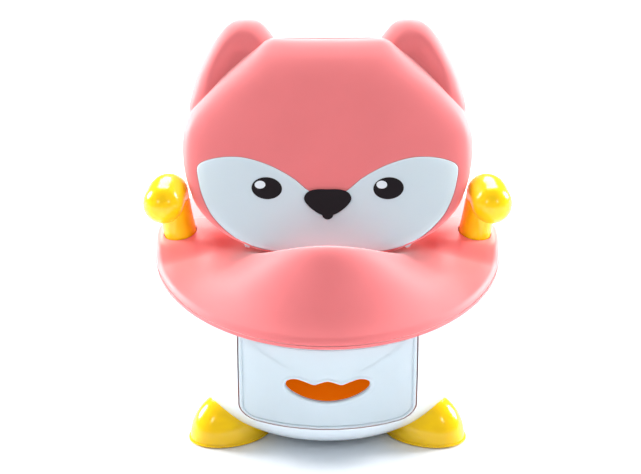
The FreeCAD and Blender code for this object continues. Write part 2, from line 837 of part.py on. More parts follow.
def make_bumpers():
    bumpers = []
    for side in (-1, 1):
        place = V(side * 56, chin_y + 15, seat_height - 0.4)
        bumpers.append(cylinder(3.5, lid_gap + 0.4, place))
    parts["lid_bumpers"] = Part.makeCompound(bumpers)


def main():
    outside, inside, shell = make_body()
    make_base_plate(shell)
    make_seat()
    make_seat_screws()
    for side, name in ((-1, "handle_left"), (1, "handle_right")):
        make_grip(side, name)
    make_grip_screws()
    make_lid()
    make_hinge_pins()
    make_drawer_front(outside, inside)
    make_tray()
    make_pot()
    make_runners(inside)
    make_feet(outside)
    make_bumpers()
    os.makedirs("parts", exist_ok=True)
    for name, shape in parts.items():
        shape.exportStep("parts/" + name + ".step")


main()
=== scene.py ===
import json
import math

import bmesh
import bpy
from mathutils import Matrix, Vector


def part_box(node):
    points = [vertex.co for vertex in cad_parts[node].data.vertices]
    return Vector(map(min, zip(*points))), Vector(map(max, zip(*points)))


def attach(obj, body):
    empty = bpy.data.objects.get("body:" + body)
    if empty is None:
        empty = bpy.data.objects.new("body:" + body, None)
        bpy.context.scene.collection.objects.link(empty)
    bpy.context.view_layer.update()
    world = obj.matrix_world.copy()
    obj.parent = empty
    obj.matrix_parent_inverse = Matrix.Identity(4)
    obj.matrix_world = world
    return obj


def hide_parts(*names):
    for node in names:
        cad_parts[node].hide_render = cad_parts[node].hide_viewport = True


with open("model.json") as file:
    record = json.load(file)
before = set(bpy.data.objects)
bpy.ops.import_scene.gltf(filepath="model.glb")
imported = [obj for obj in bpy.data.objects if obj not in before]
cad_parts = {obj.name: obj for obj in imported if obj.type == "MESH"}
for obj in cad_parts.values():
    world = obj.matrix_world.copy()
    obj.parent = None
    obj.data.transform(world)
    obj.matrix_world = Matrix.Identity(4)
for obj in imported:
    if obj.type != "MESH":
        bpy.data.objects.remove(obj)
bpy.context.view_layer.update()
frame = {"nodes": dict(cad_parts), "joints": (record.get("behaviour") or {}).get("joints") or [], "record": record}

# Lengths in this file are millimetres, and MM turns them into Blender's metres.
MM = 0.001
materials = {}


def node_mm(name):
    """Lowest and highest corner of a CAD node, in millimetres."""
    low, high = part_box(name)
    return low / MM, high / MM


# ---- sizes taken from the frame --------------------------------------------
hinge = frame["joints"][0]["pos_m"]
HINGE_Y = hinge[1] / MM
HINGE_Z = hinge[2] / MM
LID_Z = node_mm("lid_liner")[0].z
BODY_FOOT = node_mm("body_shell")[0].z
TRAY_FRONT = node_mm("drawer_tray")[0].y

# ---- seat sizes ------------------------------------------------------------
RIM_R = 175.0             # outer radius of the rim
RIM_Z = 176.0             # height of the rim's foot at the middle of the seat
RIM_SLOPE = 0.145         # rise of the rim's foot per millimetre towards the back
LIP = 8.0                 # height of the rim's edge
SEAT_Z = 203.0            # height of the seat beside the hole
SKIN = 3.0                # thickness of the seat
HOLE_HALF = 58.0          # half width of the hole
HOLE_REACH = 70.0         # half length of the hole
HOLE_Y = 5.0              # middle of the hole
COLLAR_Z = 150.0          # foot of the collar round the hole
COLLAR_ROUND = 0.075      # share of the way to the rim that the collar's rounding takes
EDGE_ROUND = 0.955        # share of the way to the rim where its rounding starts
GUARD_Z = 231.5           # top of the splash guard
GUARD_SHARE = 0.39        # where the guard peaks between the hole and the rim
GUARD_SPREAD = 76.0       # degrees to each side where the guard ends
GUARD_IN = 0.13           # how fast the guard falls towards the hole, as a share
GUARD_OUT = 0.34          # and towards the rim
LUG_R = 7.5               # rounding of the hinge lugs
LUG_X = 52.0              # middle of a hinge lug
GRIP = Vector((150.5, 5.0, 199.0))      # middle of the right socket's mouth
GRIP_LEAN = (math.tan(math.radians(10)), -math.tan(math.radians(7)))
POST_R = 16.5             # radius of a grip's post
KNOB_R = 19.5             # radius of its thick end
SOCKET_R = 17.4
SOCKET_DEPTH = 10.0
BOSS_EDGE = 15.0          # half width of the flat ground around a socket
STEM_BORE = 8.8           # radius of the bore under a socket

# ---- body, head and drawer sizes -------------------------------------------
CHIN_Y = -73.0            # foot of the face
FACE_SLOPE = math.radians(50)
FOOT_R = 71.0             # radius of the body's flat foot
LOW_ARC = 74.0            # radius of the body's lower rounding
HIGH_ARC = 330.0          # radius of the body's side above it
ARC_MEET = math.radians(24)       # slope at which the two arcs meet
BODY_TOP = 206.0          # above the rim, which cuts it
WALL = 3.0                # thickness of the body and of the drawer's panel
DRAWER_HALF = 90.0        # half width of the drawer's opening
DRAWER_BOTTOM = 42.0
DRAWER_CORNER = 18.0
DRAWER_GAP = 1.2          # gap round the drawer's panel, drawn at six tenths of this
DRAWER_MIDDLE = 93.0      # height about which the panel's rings are spread
DRAWER_TOP_R = 168.0      # radius on which the panel's top edge is measured


# ---- small tools -----------------------------------------------------------
def smooth_step(low, high, value):
    """0 below low, 1 above high, with a soft change between them."""
    t = min(1.0, max(0.0, (value - low) / (high - low)))
    return t * t * (3 - 2 * t)


def curve_through(knots, value):
    """Smooth value of a table of (place, number, ...) rows; returns the numbers at a place."""
    last = len(knots) - 1
    i = 0
    while i < last - 1 and value > knots[i + 1][0]:
        i += 1
    x0, x1 = knots[i][0], knots[i + 1][0]
    t = min(1.0, max(0.0, (value - x0) / (x1 - x0)))
    result = []
    for k in range(1, len(knots[0])):
        y0, y1 = knots[i][k], knots[i + 1][k]
        before, after = knots[max(i - 1, 0)], knots[min(i + 2, last)]
        m0 = (y1 - before[k]) / (x1 - before[0]) * (x1 - x0)
        m1 = (after[k] - y0) / (after[0] - x0) * (x1 - x0)
        a = 2 * t ** 3 - 3 * t ** 2 + 1
        b = t ** 3 - 2 * t ** 2 + t
        result.append(a * y0 + b * m0 + (1 - a) * y1 + (t ** 3 - t ** 2) * m1)
    return result


def lengths_along(points):
    """Distance from the first point to each point, along the line through them."""
    lengths = [0.0]
    for a, b in zip(points, points[1:]):
        lengths.append(lengths[-1] + (b - a).length)
    return lengths


def closed_spline(points, count):
    """count points on a smooth closed line through points."""
    ring = points[-3:] + points + points[:4]
    lengths = lengths_along(ring)
    knots = [(s,) + tuple(p) for s, p in zip(lengths, ring)]
    start, stop = lengths[3], lengths[3 + len(points)]
    return [Vector(curve_through(knots, start + (stop - start) * i / count)) for i in range(count)]


def mirrored_outline(half, count):
    """Smooth closed line from (across, up) points of its right half."""
    right = [Vector((u, v, 0)) for u, v in half]
    left = [Vector((-u, v, 0)) for u, v in half[1:-1]][::-1]
    return closed_spline(right + left, count)


def shifted(outline, distance):
    """The same line moved inwards by distance, or outwards where it is negative."""
    count = len(outline)
    result = []
    for i, p in enumerate(outline):
        along = outline[(i + 1) % count] - outline[i - 1]
        inward = Vector((-along.y, along.x, 0)).normalized()
        result.append(p + inward * distance)
    return result


def circle(centre, side, other, radius, count):
    """count points round centre, in the plane of the directions side and other."""
    points = []
    for j in range(count):
        a = 2 * math.pi * j / count
        points.append(centre + (side * math.cos(a) + other * math.sin(a)) * radius)
    return points


def grid_faces(rows, columns):
    """Four-sided faces between neighbouring rings of points."""
    faces = []
    for i in range(rows - 1):
        for j in range(columns):
            k = (j + 1) % columns
            faces.append((i * columns + j, i * columns + k, (i + 1) * columns + k, (i + 1) * columns + j))
    return faces


def new_piece(name, points, faces, smooth=True):
    """Mesh object from points in millimetres."""
    mesh = bpy.data.meshes.new(name)
    mesh.from_pydata([tuple(Vector(p) * MM) for p in points], [], faces)
    mesh.validate()
    obj = bpy.data.objects.new(name, mesh)
    bpy.context.scene.collection.objects.link(obj)
    tidy = bmesh.new()
    tidy.from_mesh(mesh)
    bmesh.ops.remove_doubles(tidy, verts=tidy.verts, dist=1e-6)
    bmesh.ops.recalc_face_normals(tidy, faces=tidy.faces)
    tidy.to_mesh(mesh)
    tidy.free()
    if smooth:
        mesh.shade_smooth()
    return obj


def rings_piece(name, rings, capped=True):
    """Mesh through a list of rings with equal point counts, closed at both ends where it is capped."""
    columns = len(rings[0])
    points = [p for ring in rings for p in ring]
    faces = grid_faces(len(rings), columns)
    if capped:
        first = (len(rings) - 1) * columns
        faces.append(tuple(range(columns))[::-1])
        faces.append(tuple(range(first, first + columns)))
    return new_piece(name, points, faces)


def lathe(name, profile, count=128, closed=True):
    """Solid of revolution about Z from (radius, height) pairs."""
    rings = [circle(Vector((0, 0, z)), Vector((1, 0, 0)), Vector((0, 1, 0)), r, count) for r, z in profile]
    if closed:
        rings.append(rings[0])
    return rings_piece(name, rings, not closed)


def apply_modifiers(obj):
    """Keeps the mesh that the modifiers make, and drops them."""
    graph = bpy.context.evaluated_depsgraph_get()
    mesh = bpy.data.meshes.new_from_object(obj.evaluated_get(graph))
    obj.modifiers.clear()
    obj.data = mesh


def combine(obj, tool, operation):
    """Cuts tool from obj or joins it on, and removes tool."""
    change = obj.modifiers.new("combine", "BOOLEAN")
    change.object = tool
    change.operation = operation
    change.solver = "EXACT"
    bpy.context.view_layer.update()
    apply_modifiers(obj)
    bpy.data.objects.remove(tool)


def join(obj, others):
    """Adds the meshes of others to obj as further closed shells."""
    mesh = bmesh.new()
    mesh.from_mesh(obj.data)
    for other in others:
        mesh.from_mesh(other.data)
        bpy.data.objects.remove(other)
    mesh.to_mesh(obj.data)
    mesh.free()


def soften(obj, width, angle=40):
    """Rounds the edges of obj that are sharper than angle."""
    bevel = obj.modifiers.new("edges", "BEVEL")
    bevel.width = width * MM
    bevel.segments = 2
    bevel.limit_method = "ANGLE"
    bevel.angle_limit = math.radians(angle)
    bevel.harden_normals = True
    return obj


def smooth_by_angle(obj, degrees):
    """Smooth shading, apart from edges sharper than degrees."""
    obj.data.shade_smooth()
    obj.data.set_sharp_from_angle(angle=math.radians(degrees))
    return obj


def finish_piece(obj, body, slot_name, nodes):
    """Gives a piece its material, its body and the CAD nodes that it stands for."""
    obj.data.materials.clear()
    obj.data.materials.append(materials[slot_name])
    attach(obj, body)
    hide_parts(*nodes)


# ---- materials -------------------------------------------------------------
def set_inputs(node, values):
    for name, value in values.items():
        node.inputs[name].default_value = value


def add_noise(tree, place, scale, detail):
    """Noise over the piece's own coordinates."""
    noise = tree.nodes.new("ShaderNodeTexNoise")
    set_inputs(noise, {"Scale": scale, "Detail": detail})
    tree.links.new(place.outputs["Object"], noise.inputs["Vector"])
    return noise


def plastic(slot_name, colour, rough, grain=900.0, depth=0.02, coat=0.0, shade=0.04, scatter=0.0,
            sheen=0.0, shine=0.5, glow=0.0):
    """Moulded plastic: fine grain in its surface, slow changes in its colour and gloss."""
    material = bpy.data.materials.new(slot_name)
    material.use_nodes = True
    tree = material.node_tree
    shader = tree.nodes["Principled BSDF"]
    set_inputs(shader, {"Coat Weight": coat, "Coat Roughness": 0.08, "IOR": 1.48, "Specular IOR Level": shine,
                        "Emission Color": (1.0, 0.2, 0.0, 1), "Emission Strength": glow,
                        "Sheen Weight": sheen, "Sheen Roughness": 0.45})
    if scatter:
        set_inputs(shader, {"Subsurface Weight": scatter, "Subsurface Radius": (0.012, 0.006, 0.004),
                            "Subsurface Scale": 0.5})
    place = tree.nodes.new("ShaderNodeTexCoord")
    tint = tree.nodes.new("ShaderNodeValToRGB")
    low, high = tint.color_ramp.elements
    low.position, high.position = 0.3, 0.7
    low.color = tuple(c * (1 - shade) for c in colour) + (1,)
    high.color = tuple(colour) + (1,)
    tree.links.new(add_noise(tree, place, 14.0, 3.0).outputs["Fac"], tint.inputs["Fac"])
    tree.links.new(tint.outputs["Color"], shader.inputs["Base Color"])
    gloss = tree.nodes.new("ShaderNodeMapRange")
    set_inputs(gloss, {"To Min": rough * 0.88, "To Max": rough * 1.15})
    tree.links.new(add_noise(tree, place, 55.0, 4.0).outputs["Fac"], gloss.inputs["Value"])
    tree.links.new(gloss.outputs["Result"], shader.inputs["Roughness"])
    bump = tree.nodes.new("ShaderNodeBump")
    set_inputs(bump, {"Strength": depth * 5, "Distance": 0.0002})
    tree.links.new(add_noise(tree, place, grain, 2.0).outputs["Fac"], bump.inputs["Height"])
    tree.links.new(bump.outputs["Normal"], shader.inputs["Normal"])
    materials[slot_name] = material
    return material


def make_materials():
    pink = (0.90, 0.205, 0.215)
    for name in ("pink_seat", "pink_head"):
        plastic(name, pink, 0.45, 1400.0, 0.05, shade=0.05, scatter=0.1, sheen=0.7, shine=0.35)
    plastic("white_body", (0.72, 0.79, 0.84), 0.22, 500.0, 0.01, coat=0.25, shade=0.02, scatter=0.08)
    # the drawer panel is the body's white plastic, given a darker colour: painted shade for the front-facing panel
    plastic("white_panel", (0.51, 0.585, 0.63), 0.42, 500.0, 0.01, shade=0.02, scatter=0.08)
    plastic("white_mask", (0.68, 0.77, 0.83), 0.35, 900.0, 0.02, shade=0.02, scatter=0.08)
    plastic("white_glint", (0.85, 0.90, 0.95), 0.3, 700.0, 0.01, shade=0.03)
    plastic("black_inlay", (0.012, 0.007, 0.010), 0.35, 700.0, 0.01, shade=0.2, shine=0.3)
    yellow = (1.0, 0.60, 0.0)
    plastic("yellow_grip", yellow, 0.2, 400.0, 0.01, coat=0.12, shade=0.03, scatter=0.15, shine=0.4)
    plastic("yellow_foot", yellow, 0.16, 400.0, 0.01, coat=0.15, shade=0.03, scatter=0.1, shine=0.4)
    # a little glow stands in for the light that comes through the drawer's plastic
    plastic("orange_drawer", (1.0, 0.28, 0.0), 0.4, 700.0, 0.03, shade=0.05, scatter=0.1, shine=0.3,
            glow=0.38)
    plastic("orange_pot", (1.0, 0.42, 0.01), 0.25, 500.0, 0.01, coat=0.2, scatter=0.1)
    plastic("grey_guide", (0.62, 0.64, 0.67), 0.4, 700.0, 0.03)
    plastic("pale_rubber", (0.92, 0.80, 0.76), 0.6, 900.0, 0.06)
    plastic("dark_rubber", (0.05, 0.05, 0.055), 0.7, 600.0, 0.1, shade=0.2)
    steel = plastic("steel", (0.56, 0.56, 0.58), 0.3, 300.0, 0.05)
    set_inputs(steel.node_tree.nodes["Principled BSDF"], {"Metallic": 1.0})


# ---- seat ------------------------------------------------------------------
def rim_level(y):
    """Height of the rim's foot, which slopes down towards the front."""
    return RIM_Z + RIM_SLOPE * y


def socket_axis(side):
    """Direction of a grip's post; side is -1 on the left and 1 on the right."""
    return Vector((side * GRIP_LEAN[0], GRIP_LEAN[1], 1)).normalized()


def socket_mouth(side):
    return Vector((side * GRIP.x, GRIP.y, GRIP.z))


def seat_base(angle, share):
    """Height of the seat without its guard and bosses; share runs from the hole to the rim."""
    edge = rim_level(-RIM_R * math.cos(angle)) + LIP
    return SEAT_Z + (edge - SEAT_Z) * share ** 1.6


def guard_rise(angle, share):
    """How far the splash guard stands above the seat; angle is 0 at the front."""
    reach = abs(math.degrees(angle)) / GUARD_SPREAD
    if reach >= 1:
        return 0.0
    peak = math.cos(reach * math.pi / 2) ** 2
    spread = GUARD_IN if share < GUARD_SHARE else GUARD_OUT
    shape = math.exp(-((share - GUARD_SHARE) / spread) ** 2)
    fade = 1 - max(0.0, (share - 0.6) / 0.4) ** 2
    return (GUARD_Z - seat_base(0, GUARD_SHARE)) * peak * shape * fade


def seat_plan(angle, share):
    """Place seen from above, at a share of the way from the hole to the rim."""
    s, c = math.sin(angle), math.cos(angle)
    hole = Vector((HOLE_HALF * s, HOLE_Y - HOLE_REACH * c))
    rim = Vector((RIM_R * s, -RIM_R * c))
    return hole + (rim - hole) * share


def seat_top_point(angle, share):
    """Point of the seat's upper skin, with the raised bosses around the sockets."""
    place = seat_plan(angle, share)
    z = seat_base(angle, share) + guard_rise(angle, share)
    for side in (-1, 1):
        mouth, axis = socket_mouth(side), socket_axis(side)
        dx, dy = place.x - mouth.x, place.y - mouth.y
        lean = max(-BOSS_EDGE, min(BOSS_EDGE, dx))
        plane = mouth.z - (axis.x * lean + axis.y * dy) / axis.z
        reach = dx * (0.45 if dx * side < 0 else 1.0)
        distance = math.hypot(max(0.0, abs(reach) - 0.55 * BOSS_EDGE), dy)
        weight = 1 - smooth_step(SOCKET_R + 2, SOCKET_R + 27, distance)
        z += (plane - z) * weight
    return Vector((place.x, place.y, z))


def seat_column(angle):
    """The upper skin at one angle, from the collar's foot to the rim's foot."""
    column = []
    for i in range(8):
        place = seat_plan(angle, 0)
        column.append(Vector((place.x, place.y, COLLAR_Z + (SEAT_Z - 9 - COLLAR_Z) * i / 7)))
    for i in range(1, 8):
        turn = math.pi / 2 * i / 8
        share = COLLAR_ROUND * (1 - math.cos(turn))
        point = seat_top_point(angle, share)
        column.append(point - Vector((0, 0, 8 * (1 - math.sin(turn)))))
    for i in range(64):
        column.append(seat_top_point(angle, COLLAR_ROUND + (EDGE_ROUND - COLLAR_ROUND) * i / 63))
    for i in range(1, 9):
        turn = math.pi / 2 * i / 8
        share = EDGE_ROUND + (1 - EDGE_ROUND) * math.sin(turn)
        point = seat_top_point(angle, share)
        column.append(point - Vector((0, 0, 4.5 * (1 - math.cos(turn)))))
    edge = rim_level(-RIM_R * math.cos(angle))
    place = seat_plan(angle, 1)
    for grow, level in ((1, 3.7), (1.005, 3.2), (1.0062, 2.6), (1.0062, 0.9), (1.005, 0.3), (1.003, 0)):
        column.append(Vector((place.x * grow, place.y * grow, edge + level)))
    return column


def tube_along(name, start, axis, outer, inner, depth, count=64):
    """Open-ended tube with a wall, running from start against axis."""
    side = axis.orthogonal().normalized()
    other = axis.cross(side)
    corners = ((outer, 0), (outer, depth), (inner, depth), (inner, 0), (outer, 0))
    rings = [circle(start - axis * down, side, other, radius, count) for radius, down in corners]
    return rings_piece(name, rings, False)


def rod_along(name, start, axis, radius, depth, count=64):
    """Solid round rod, running from start against axis."""
    side = axis.orthogonal().normalized()
    other = axis.cross(side)
    rings = [circle(start - axis * down, side, other, radius, count) for down in (0, depth)]
    return rings_piece(name, rings)


def hinge_lug(x, width):
    """Upright ear of the hinge: a rounded outline pushed out sideways."""
    outline = []
    for i in range(25):
        a = math.pi * i / 24
        outline.append((HINGE_Y + LUG_R * math.cos(a), HINGE_Z + LUG_R * math.sin(a)))
    outline += [(HINGE_Y - 9, SEAT_Z - 2), (HINGE_Y + 9, SEAT_Z)]
    rings = [[Vector((x + s * width / 2, y, z)) for y, z in outline] for s in (-1, 1)]
    return rings_piece("lug", rings)


def make_seat():
    """The seat's skin, with a cup and a stem for each grip and the two hinge lugs."""
    count = 360
    columns = [seat_column(2 * math.pi * i / count - math.pi) for i in range(count)]
    rings = [list(ring) for ring in zip(*columns)]
    seat = rings_piece("seat", rings, False)
    thick = seat.modifiers.new("skin", "SOLIDIFY")
    thick.thickness = SKIN * MM
    thick.offset = -1
    apply_modifiers(seat)
    extras = []
    for side in (-1, 1):
        mouth, axis = socket_mouth(side), socket_axis(side)
        above, below = 20, SOCKET_DEPTH + 12
        recess = rod_along("recess", mouth + axis * above, axis, SOCKET_R, above + below)
        combine(seat, recess, "DIFFERENCE")
        cup = tube_along("cup", mouth - axis * 1.2, axis, SOCKET_R + 2.4, SOCKET_R, SOCKET_DEPTH + 1.8)
        floor = tube_along("cup_floor", mouth - axis * SOCKET_DEPTH, axis, SOCKET_R + 0.5, STEM_BORE, 3)
        stem = tube_along("stem", mouth - axis * (SOCKET_DEPTH + 2), axis, STEM_BORE + 2.4, STEM_BORE, 31)
        lug = hinge_lug(side * LUG_X, 14)
        extras += [cup, floor, stem, soften(lug, 0.8)]
    for extra in extras:
        apply_modifiers(extra)
    join(seat, extras)
    smooth_by_angle(seat, 38)
    finish_piece(seat, "base", "pink_seat", ("seat_top",))


# ---- head ------------------------------------------------------------------
# height above the underside, half width, how far the front lies behind the face's plane, back
LEVELS = (
    (0.0, 66, 4.5, 134), (1.2, 71, 2.0, 136), (4.0, 79, 0.6, 138), (9.0, 93, 0, 139), (16.0, 109, 0, 140),
    (25.0, 122, 0, 141), (36.0, 133, 0, 142), (50.0, 141, 0, 142), (64.0, 146, 0, 142), (80.0, 148, 0, 141),
    (94.0, 146, 0, 139), (105.0, 140, 0, 137), (116.0, 130, 0, 135), (127.0, 118, 0, 132),
    (138.0, 104, 0, 128), (149.0, 89, 0.8, 123), (158.0, 76, 3.0, 116), (164.0, 68, 6.5, 110),
    (168.5, 61, 10.5, 103), (171.0, 54, 14.5, 96), (172.0, 44, 19.0, 88),
)
FACE_UP = Vector((0, math.cos(FACE_SLOPE), math.sin(FACE_SLOPE)))
FACE_OUT = Vector((0, -math.sin(FACE_SLOPE), math.cos(FACE_SLOPE)))
CHIN = Vector((0, CHIN_Y, LID_Z))
BACK_POWER = 2.4


def brow_at(rise, depth):
    """How far back the front rounds into the side, and how square that rounding is."""
    share = smooth_step(30, 85, rise)
    return min(24 + 12 * share, depth / 2), 5 - 1.3 * share


def level_at(rise):
    """Half width, front and back of the head at a height above its underside."""
    half, setback, back = curve_through(LEVELS, rise)
    return half, CHIN_Y + rise / math.tan(FACE_SLOPE) + setback, back


def head_ring(rise, count):
    """The head's level outline at a height above its underside."""
    half, front, back = level_at(rise)
    brow, front_power = brow_at(rise, back - front)
    middle = front + brow
    ring = []
    for j in range(count):
        a = 2 * math.pi * j / count
        c, s = math.cos(a), math.sin(a)
        power = BACK_POWER if s > 0 else front_power
        depth = back - middle if s > 0 else brow
        size = (abs(c) ** power + abs(s) ** power) ** (-1 / power)
        ring.append(Vector((half * c * size, middle + depth * s * size, LID_Z + rise)))
    return ring


def head_front(x, rise):
    """Y of the head's front surface."""
    half, front, back = level_at(rise)
    brow, front_power = brow_at(rise, back - front)
    share = min(1.0, abs(x) / half)
    return front + brow - brow * (1 - share ** front_power) ** (1 / front_power)


def on_face(u, v, lift=0.0):
    """Point on the head's front: u across, v up the slope, lift out of the surface."""
    base = CHIN + Vector((u, 0, 0)) + FACE_UP * v
    low, high = -60.0, 10.0
    for i in range(40):
        middle = (low + high) / 2
        point = base + FACE_OUT * middle
        rise = point.z - LID_Z
        if rise <= 0 or point.y > head_front(point.x, rise):
            low = middle
        else:
            high = middle
    return base + FACE_OUT * (low + lift)


EAR = ((-44, 226), (-56, 245), (-69, 260), (-84, 265), (-100, 259), (-114, 243), (-127, 219),
       (-137, 192), (-142, 160), (-134, 130), (-108, 120), (-72, 140), (-48, 180))
EAR_CENTRE = Vector((-92, 208, 0))
EAR_DEPTH = -34.0         # middle of the ear, behind the face's plane
EAR_HALF = 17.0           # half of the ear's thickness
EAR_DISH = 7.0            # depth of the dish in its front


def make_ear(side):
    """Thick rounded ear with a shallow dish in front."""
    outline = closed_spline([Vector((u, v, 0)) for u, v in EAR], 120)
    rings = []
    steps = 22
    for front in (1, -1):
        shares = [i / steps for i in range(1, steps + 1)]
        if front < 0:
            shares = shares[::-1][1:]
        for share in shares:
            s = math.sin(share * math.pi / 2)
            lift = EAR_HALF * math.sqrt(1 - s ** 2.4) * front
            if front > 0:
                lift -= EAR_DISH * (1 - smooth_step(0.2, 0.7, s))
            ring = []
            for p in outline:
                q = EAR_CENTRE + (p - EAR_CENTRE) * s
                place = CHIN + Vector((-side * q.x, 0, 0)) + FACE_UP * q.y
                ring.append(place + FACE_OUT * (EAR_DEPTH + lift))
            rings.append(ring)
    return rings_piece("ear", rings)


# right halves of the mask and the nose, as (across, up the face), and the places of the eyes
MASK = ((0, 3.0), (36, 3.6), (64, 7.0), (92, 19), (115, 41), (126, 63), (131, 84), (131.5, 94), (128, 98.5),
        (115, 102.5), (99, 103.8), (82, 102), (62, 95.5), (46, 87.5), (33, 79), (21, 68.5), (10, 62), (0, 60))
NOSE = ((0, 67.0), (12, 66.8), (19.5, 64.2), (22.4, 58.5), (18, 51.5), (10, 45.0), (4.6, 42.2), (3.4, 39.6),
        (0, 38.0))
MASK_CENTRE = (0, 45)
MASK_GAP = 0.55
EYE_U, EYE_V = 61.3, 70.0


def inlay(name, outline, centre, top, steps, edge, under=-1.6):
    """Thin inlay that follows the face: edge is (inset, drop) from its rim inwards."""
    rings = []
    middle = Vector((centre[0], centre[1], 0))
    inner = shifted(outline, edge[-1][0])
    for i in range(1, steps + 1):
        share = i / steps
        rings.append([on_face(*(middle + (p - middle) * share).xy, top) for p in inner])
    for inset, drop in reversed(edge[:-1]):
        rings.append([on_face(*p.xy, top + drop) for p in shifted(outline, inset)])
    rings.append([on_face(*p.xy, under) for p in outline])
    for i in range(steps - 1, 0, -3):
        share = i / steps
        rings.append([on_face(*(middle + (p - middle) * share).xy, under) for p in outline])
    return rings_piece(name, rings)


def ellipse(u, v, half_long, half_short, tilt, count=72):
    """Outline of a tilted ellipse round (u, v) on the face; tilt is in degrees."""
    points = []
    r = math.radians(tilt)
    for i in range(count):
        t = 2 * math.pi * i / count
        a, b = half_long * math.cos(t), half_short * math.sin(t)
        points.append(Vector((u + a * math.cos(r) - b * math.sin(r),
                              v + a * math.sin(r) + b * math.cos(r), 0)))
    return points


def cut_hollow(head, count):
    """Cuts the shallow well in the head's underside that holds the liner."""
    middle, share = 35, 0.945
    rings = []
    for z in (-2, 5):
        ring = []
        for p in head_ring(0, count):
            ring.append(Vector((p.x * share, middle + (p.y - middle) * share, LID_Z + z)))
        rings.append(ring)
    combine(head, rings_piece("hollow", rings), "DIFFERENCE")


def cut_knuckle_slot(head, side):
    """Cuts the room for one of the liner's hinge arms."""
    middle, half_width = side * 37.4, 7.4
    front, back = 110, 160
    low, high = LID_Z - 2, HINGE_Z + 3.6
    rings = []
    for x in (middle - half_width, middle + half_width):
        rings.append([Vector((x, y, z)) for y, z in ((front, low), (back, low), (back, high), (front, high))])
    combine(head, rings_piece("slot", rings), "DIFFERENCE")


def make_head():
    count = 192
    steps = 130
    rises = [LEVELS[-1][0] * (1 - math.cos(math.pi * i / steps)) / 2 for i in range(steps + 1)]
    head = rings_piece("head", [head_ring(rise, count) for rise in rises])
    for side in (-1, 1):
        combine(head, make_ear(side), "UNION")
    outline = mirrored_outline(MASK, 320)
    straight = ((0.0, 0.0), (0.0, 0.0))
    recess = inlay("recess", shifted(outline, -MASK_GAP), MASK_CENTRE, 9.0, 14, straight, -2.2)
    combine(head, recess, "DIFFERENCE")
    cut_hollow(head, count)
    for side in (-1, 1):
        cut_knuckle_slot(head, side)
    smooth_by_angle(head, 50)
    finish_piece(head, "lid", "pink_head", ("lid_shell",))
    mask = inlay("mask", outline, MASK_CENTRE, 0.5, 14,
                 ((0.0, -1.2), (0.0, -0.45), (0.25, -0.12), (0.7, 0.0)))
    finish_piece(smooth_by_angle(mask, 60), "lid", "white_mask", ("face_mask",))
    nose = inlay("nose_button", mirrored_outline(NOSE, 160), (0, 56), 1.9, 8,
                 ((0.0, -1.6), (0.0, -0.8), (0.5, -0.25), (1.4, 0.0)))
    finish_piece(smooth_by_angle(nose, 60), "lid", "black_inlay", ("nose",))
    for side, name in ((-1, "left"), (1, "right")):
        make_eye(side, name)


def make_eye(side, name):
    """Black disc with a white spot to its upper left."""
    u = side * EYE_U
    eye = inlay("eye_disc_" + name, ellipse(u, EYE_V, 15.4, 11.6, side * 6), (u, EYE_V), 0.85, 8,
                ((0.0, -0.4), (0.12, -0.1), (0.4, 0.0)))
    finish_piece(smooth_by_angle(eye, 60), "lid", "black_inlay", ("eye_" + name,))
    u, v = u - 6.8, EYE_V + 3.6
    glint = inlay("eye_spot_" + name, ellipse(u, v, 5.4, 4.2, 0, 48), (u, v), 1.0, 5,
                  ((0.0, -0.2), (0.1, 0.0)))
    finish_piece(smooth_by_angle(glint, 60), "lid", "white_glint", ("eye_glint_" + name,))


# ---- body and drawer -------------------------------------------------------
def body_profile(inset, top, count=28):
    """(radius, height) pairs up the outside of the body, taken inwards by inset."""
    centre = (FOOT_R, BODY_FOOT + LOW_ARC)
    low_r = LOW_ARC - inset
    points = []
    for i in range(count + 1):
        a = -math.pi / 2 + (math.pi / 2 - ARC_MEET) * i / count
        points.append((centre[0] + low_r * math.cos(a), centre[1] + low_r * math.sin(a)))
    gap = HIGH_ARC - LOW_ARC
    high = (centre[0] - gap * math.cos(ARC_MEET), centre[1] + gap * math.sin(ARC_MEET))
    high_r = HIGH_ARC - inset
    end = math.asin((top - high[1]) / high_r)
    for i in range(1, count + 1):
        a = -ARC_MEET + (end + ARC_MEET) * i / count
        points.append((high[0] + high_r * math.cos(a), high[1] + high_r * math.sin(a)))
    return points


def body_radius(z):
    """Radius of the body's outside at a height."""
    centre = BODY_FOOT + LOW_ARC
    if z < centre - LOW_ARC * math.sin(ARC_MEET):
        return FOOT_R + math.sqrt(max(0.0, LOW_ARC ** 2 - (centre - z) ** 2))
    gap = HIGH_ARC - LOW_ARC
    rise = z - centre - gap * math.sin(ARC_MEET)
    return FOOT_R - gap * math.cos(ARC_MEET) + math.sqrt(HIGH_ARC ** 2 - rise ** 2)


def tilted_top(drop):
    """Large block above the rim's sloping plane, for cutting the body's top."""
    size = 300
    rings = []
    for extra in (0, size):
        ring = []
        for x, y in ((-size, -size), (size, -size), (size, size), (-size, size)):
            ring.append(Vector((x, y, rim_level(y) - drop + extra)))
        rings.append(ring)
    return rings_piece("top_cut", rings)


